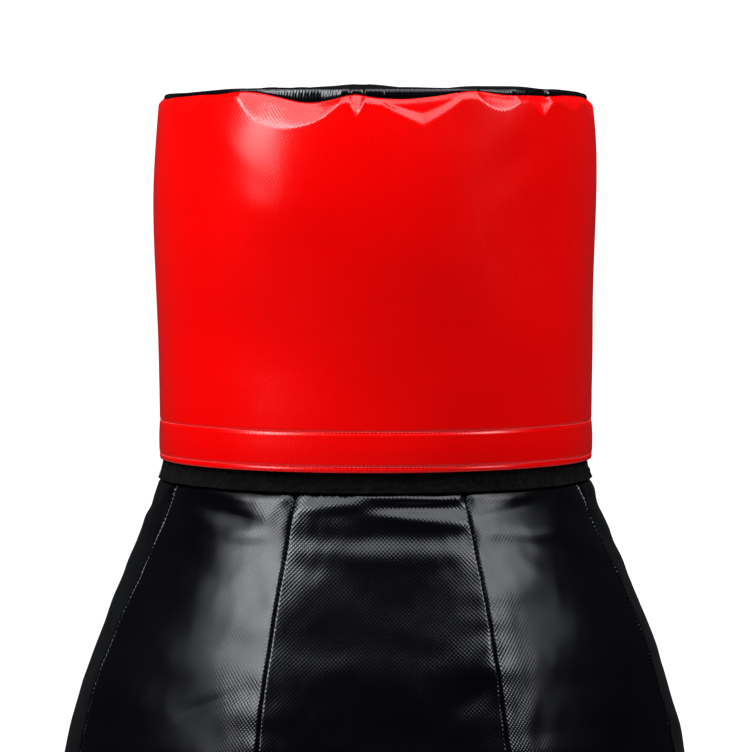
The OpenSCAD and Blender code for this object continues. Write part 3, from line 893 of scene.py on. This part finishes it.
def hood_surface(angle, z):
    """Radius of the hood's outside."""
    radius = hood_r(z)
    points = round_points(radius, angle, z)
    turn = from_front(angle)
    drop, rise = HOOD_SEAM_Z - z, z - HOOD_Z
    height = seam_roll(angle, drop) - 1.2 * bell(drop, 0.0022)
    for middle, depth, long, wide, tall, fall in DENTS:
        across = np.radians(turned(turn, middle)) * radius / MM
        height = height + tall * bell(drop / MM - depth - fall * across, wide) * bell(across, long)
    height += lumps(points, 0.15, 51) * 0.8 * smooth(rise, 0.02, 0.10)
    height += lumps(points * np.array([1, 1, 0.7]), 0.06, 52) * 0.2 * smooth(rise, 0.02, 0.06)
    height += sum(-0.6 * bell(rise - row * MM, 0.0011) for row in STITCH_ROWS)
    height += 0.35 * bell(rise - 0.014, 0.008) - 0.5 * bell(rise, 0.0012)
    height += 0.5 * np.sin(angle * 3 + 1.1) * bell(rise, 0.05)
    from_back = turned(turn, 180)
    height += -1.0 * bell(from_back, 0.5) + 0.5 * bell(np.abs(from_back) - 1.4, 0.8)
    return radius + height * MM


def hood_points(angle, z, depth=0.0):
    """Outside of the hood's wall, or some depth under it; near the top it follows the wavy seam."""
    lifted = z + seam_wave(angle) * smooth(z, HOOD_SEAM_Z - 0.022, HOOD_SEAM_Z)
    return round_points(hood_surface(angle, z) - depth, angle, lifted)


def make_hood_wall():
    """Red wall: outside, folded hem edge and the plain inside, closed at the top seam."""
    rise = np.concatenate([np.linspace(0.0, 0.030, 62), np.linspace(0.032, 0.19, 80)])
    upper = np.linspace(0.1915, HOOD_SEAM_Z - HOOD_Z, 46)
    z, a = once_round(HOOD_Z + np.concatenate([rise, upper]), HOOD_COLUMNS)
    outside = hood_points(a, z)
    zi, ai = once_round(np.linspace(HOOD_SEAM_Z - 0.002, HOOD_Z + 0.0002, 60), HOOD_COLUMNS)
    inside = hood_points(ai, zi, 1.0 * MM)
    reach = np.hypot(inside[..., 0], inside[..., 1])
    on_hem = 1 - smooth(zi, HOOD_Z + 0.026, HOOD_Z + 0.028)
    hem_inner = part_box("hook_tape")[1].x + 0.02 * MM
    share = 1 + (np.minimum(hem_inner / reach, 1) - 1) * on_hem
    inside[..., :2] *= share[..., None]
    along = np.concatenate([z, 2 * HOOD_SEAM_Z - zi])
    uvs = np.stack([np.concatenate([a, ai]) * HOOD_TOP_R, along], axis=-1)
    wall = grid_object("hood_red_wall", np.concatenate([outside, inside]), uvs, wrap=True, closed=True)
    dress(wall, RED_VINYL, "hood", ["hood_wall"])
    width, length, area = ring_cut(hood_r, HOOD_Z, HOOD_SEAM_Z)


def make_hem_stitches():
    """Two rows of thread along the hem, a little paler than the cloth and slightly uneven."""
    pitch = 2.45 * MM
    rng = np.random.RandomState(61)
    centres, along, out = [], [], []
    for row in STITCH_ROWS:
        count = int(TAU * hood_r(np.array([HOOD_Z]))[0] / pitch)
        angle = np.linspace(0, TAU, count, endpoint=False) + rng.normal(scale=0.0006, size=count)
        z = HOOD_Z + row * MM + rng.normal(scale=0.06 * MM, size=count) + 0.25 * MM * np.sin(angle * 7)
        radius = hood_surface(angle, z) + 0.12 * MM
        centres.append(round_points(radius, angle, z))
        tilt = rng.normal(scale=0.05, size=count)
        along.append(unit(np.stack([-np.sin(angle), np.cos(angle), tilt], axis=-1)))
        out.append(round_points(np.ones(count), angle, np.zeros(count)))
    stitches = thread_object("hem_stitches", np.concatenate(centres), np.concatenate(along),
                             np.concatenate(out), 2.0 * MM, 0.24 * MM)
    dress(stitches, RED_THREAD, "hood")


def make_hood_top():
    """Puffed black top: a rolled rim that follows the seam, and a slack middle."""
    angle = np.linspace(0, TAU, HOOD_COLUMNS, endpoint=False)
    seam_r = hood_surface(angle, np.full(angle.shape, HOOD_SEAM_Z - 0.0004))
    seam_z = HOOD_SEAM_Z + seam_wave(angle)
    top_z = HOOD_TOP_Z - 0.2 * MM
    rim_w = 24 * MM
    turn = from_front(angle)
    pleats = sum(bell(turned(turn, m), 1.6) for m in (-36, -5, 27, 57, 84, -70, -88))
    rows = [(seam_r - 2.4 * MM, seam_z - 5 * MM), (seam_r - 1.4 * MM, seam_z - MM)]
    # the rim's section, from the seam: share of its width inwards, share of its height upwards
    rim_at = np.array([(0, 0), (0.0, 0.35), (0.025, 0.7), (0.09, 0.93), (0.28, 1.0), (1.0, 1.0)])
    steps = np.linspace(0, len(rim_at) - 1, 40)
    pick, weights = cubic(rim_at, steps, False)
    section = sum(w * rim_at[k] for k, w in zip(pick, weights))
    for across, up in section:
        puff = (1.0 - 1.8 * pleats) * math.sin(math.pi * min(across * 1.6, 1)) * MM
        rows.append((seam_r - 0.3 * MM - rim_w * across + puff * 0.5,
                     seam_z + (top_z - seam_z) * up + puff * 0.5))
    for share in np.linspace(0.985, 0.002, 60):
        rows.append(((seam_r - 0.3 * MM - rim_w) * share, np.full(angle.shape, top_z)))
    r, z = np.array([row[0] for row in rows]), np.array([row[1] for row in rows])
    a = np.repeat(angle[None, :], len(rows), axis=0)
    flat = round_points(r, a, np.zeros(r.shape))
    inwards = seam_r[None, :] - r
    folds = np.cos(a * 23 + 2.1 * np.sin(a * 3) + 1.3 * np.sin(a * 7 + 1)) * bell(inwards - 0.018, 0.012)
    slack = lumps(flat, 0.09, 71) * 0.9 + lumps(flat, 0.035, 72) * 0.3 - 0.6
    slack = slack * smooth(inwards, 0.008, 0.04)
    z = z + (folds * 0.5 + slack) * MM * smooth(inwards, 0.002, 0.008)
    to_side = np.abs(flat[..., 0] - 0.012)
    z = z - (z - seam_z) * 0.6 * smooth(to_side, 0.07, 0.145) * (z > seam_z)
    top = grid_object("hood_black_top", round_points(r, a, z), flat[..., :2].copy(), wrap=True)
    dress(thicken(top, CLOTH_T), BLACK_VINYL, "hood", ["hood_top"])


def make_hood_lining():
    """Binding over the raw edges of the top seam, and the tape over the back seam."""
    low, high = (corner.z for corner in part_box("hood_top_binding"))
    z, a = once_round(np.linspace(low, high, 12), 360)
    binding = grid_object("hood_binding", hood_points(a, z, 1.3 * MM), wrap=True)
    dress(thicken(binding, 1.6 * MM), WEBBING, "hood", ["hood_top_binding"])
    low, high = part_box("hood_back_tape")
    half = math.asin(high.x / high.y)
    across = np.linspace(-half, half, 16) + math.pi / 2
    z, a = np.meshgrid(np.linspace(low.z, high.z, 60), across, indexing="ij")
    tape = grid_object("hood_seam_tape", hood_points(a, z, 1.4 * MM))
    dress(thicken(tape, 1.0 * MM), RED_VINYL, "hood", ["hood_back_tape"])


def make_foam(name, node, body, inwards, lower=0.0):
    """A hidden foam pad: its CAD solid a little smaller, so that the cloth over it stays clear."""
    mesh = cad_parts[node].data.copy()
    points = mesh_points(mesh)
    reach = np.hypot(points[:, 0], points[:, 1])
    scale = np.where(reach > 0.02, (reach - inwards) / np.maximum(reach, 1e-6), 1)
    points[:, :2] *= scale[:, None]
    low, high = points[:, 2].min(), points[:, 2].max()
    points[:, 2] -= lower * (points[:, 2] - low) / (high - low)
    mesh.vertices.foreach_set("co", points.ravel())
    mesh.update()
    obj = add_object(name, mesh)
    dress(obj, FOAM, body, [node])


# ---- stage ----

SHOULDER = Vector((0, 0, NECK_Z))


def make_camera():
    """Level with the top of the hood, looking slightly down at the upper body."""
    aside, distance, aim_drop = 0.0006, 3.08, 0.1786
    target = Vector((aside, 0, HOOD_SEAM_Z - aim_drop))
    data = bpy.data.cameras.new("camera")
    data.lens = 230.4
    data.sensor_width = 36
    data.clip_end = 50
    camera = add_object("camera", data)
    camera.location = (aside, -distance, HOOD_SEAM_Z)
    camera.rotation_euler = (target - camera.location).to_track_quat("-Z", "Y").to_euler()
    bpy.context.scene.camera = camera


def softbox(name, place, aim, width, height, power):
    """Rectangular light at a place, facing its aim."""
    data = bpy.data.lights.new(name, "AREA")
    data.shape = "RECTANGLE"
    data.size = width
    data.size_y = height
    data.energy = power
    data.color = (0.94, 0.97, 1.0)
    light = add_object(name, data)
    light.location = place
    light.rotation_euler = (Vector(aim) - Vector(place)).to_track_quat("-Z", "Y").to_euler()


def towards(turn, rise, distance):
    """A place some degrees right of the front and above level, seen from the dummy's shoulder."""
    turn, rise = math.radians(turn), math.radians(rise)
    way = (math.sin(turn) * math.cos(rise), -math.cos(turn) * math.cos(rise), math.sin(rise))
    return Vector(way) * distance + SHOULDER


def make_stage():
    """Pale floor, three soft lights and a white surround that lights the dummy only faintly."""
    corners = np.array([[-6, -6, 0], [6, -6, 0], [6, 6, 0], [-6, 6, 0]], float)
    floor = new_object("floor", corners, [[0, 1, 2, 3]])
    n = Nodes("floor_pale")
    tone = n.noise(n.coordinate(), 2.0, 2.0)
    dress(floor, n.finish(Base_Color=n.colour(tone, (0.86, 0.86, 0.86), (0.9, 0.9, 0.9)), Roughness=0.9))
    softbox("key_left", towards(-60, 32, 1.9), SHOULDER, 0.55, 1.15, 33)
    softbox("fill_right", towards(66, 31, 2.0), SHOULDER, 0.6, 0.7, 16)
    softbox("overhead", (0, -0.5, 2.5), (0, -0.5, 0), 2.8, 1.3, 54)
    world = bpy.data.worlds.new("studio")
    world.use_nodes = True
    bpy.context.scene.world = world
    tree = world.node_tree
    background = tree.nodes["Background"]
    seen = tree.nodes.new("ShaderNodeBackground")
    seen.inputs["Color"].default_value = (1, 1, 1, 1)
    seen.inputs["Strength"].default_value = 1.0
    background.inputs["Color"].default_value = (0.9, 0.95, 1, 1)
    background.inputs["Strength"].default_value = 0.045
    path = tree.nodes.new("ShaderNodeLightPath")
    mix = tree.nodes.new("ShaderNodeMixShader")
    tree.links.new(path.outputs["Is Camera Ray"], mix.inputs["Fac"])
    tree.links.new(background.outputs[0], mix.inputs[1])
    tree.links.new(seen.outputs[0], mix.inputs[2])
    tree.links.new(mix.outputs[0], tree.nodes["World Output"].inputs["Surface"])
    bpy.context.scene.view_settings.view_transform = "Standard"
    bpy.context.scene.view_settings.look = "Medium High Contrast"


make_camera()
make_stage()

complete_lists()
SETTLED = soften(settle_cover())
for number in range(len(GORES)):
    make_gore(number)
make_gore_stitches()
make_bottom()
for node in ("neck_webbing", "bottom_webbing"):
    layer(f"{node}_ring", node, WEBBING_DEPTH, WEBBING, "black_tape", 12, 480)
layer("inner_bag_tube", "inner_bag", BAG_DEPTH, WOVEN_BAG, "woven_bag", 300, 240)
bend_with_neck(make_stuffing("packed_trunk_scrap", "trunk_filling", 9 * MM, 81))
make_foam("foam_foot_pad", "foot_pad", "trunk", 3 * MM)

make_sleeve()
make_loop_tape()
make_lint()
make_tunnel()
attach(make_stuffing("packed_head_scrap", "head_filling", 6 * MM, 82), "head")
make_foam("foam_head_wrap", "head_foam", "head", 4.5 * MM)
make_foam("foam_crown_pad", "crown_pad", "head", 4.5 * MM, 3.5 * MM)
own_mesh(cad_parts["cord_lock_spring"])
for node, material in (("drawcord", CORD), ("cord_lock_body", LOCK_PLASTIC),
                       ("cord_lock_spring", SPRING_STEEL), ("cord_lock_button", LOCK_PLASTIC)):
    dress(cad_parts[node], material)

make_hood_wall()
make_hem_stitches()
make_hood_top()
make_hood_lining()
make_foam("foam_top_pad", "hood_top_pad", "hood", 3 * MM, 4 * MM)
dress(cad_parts["hook_tape"], HOOK_PILE)
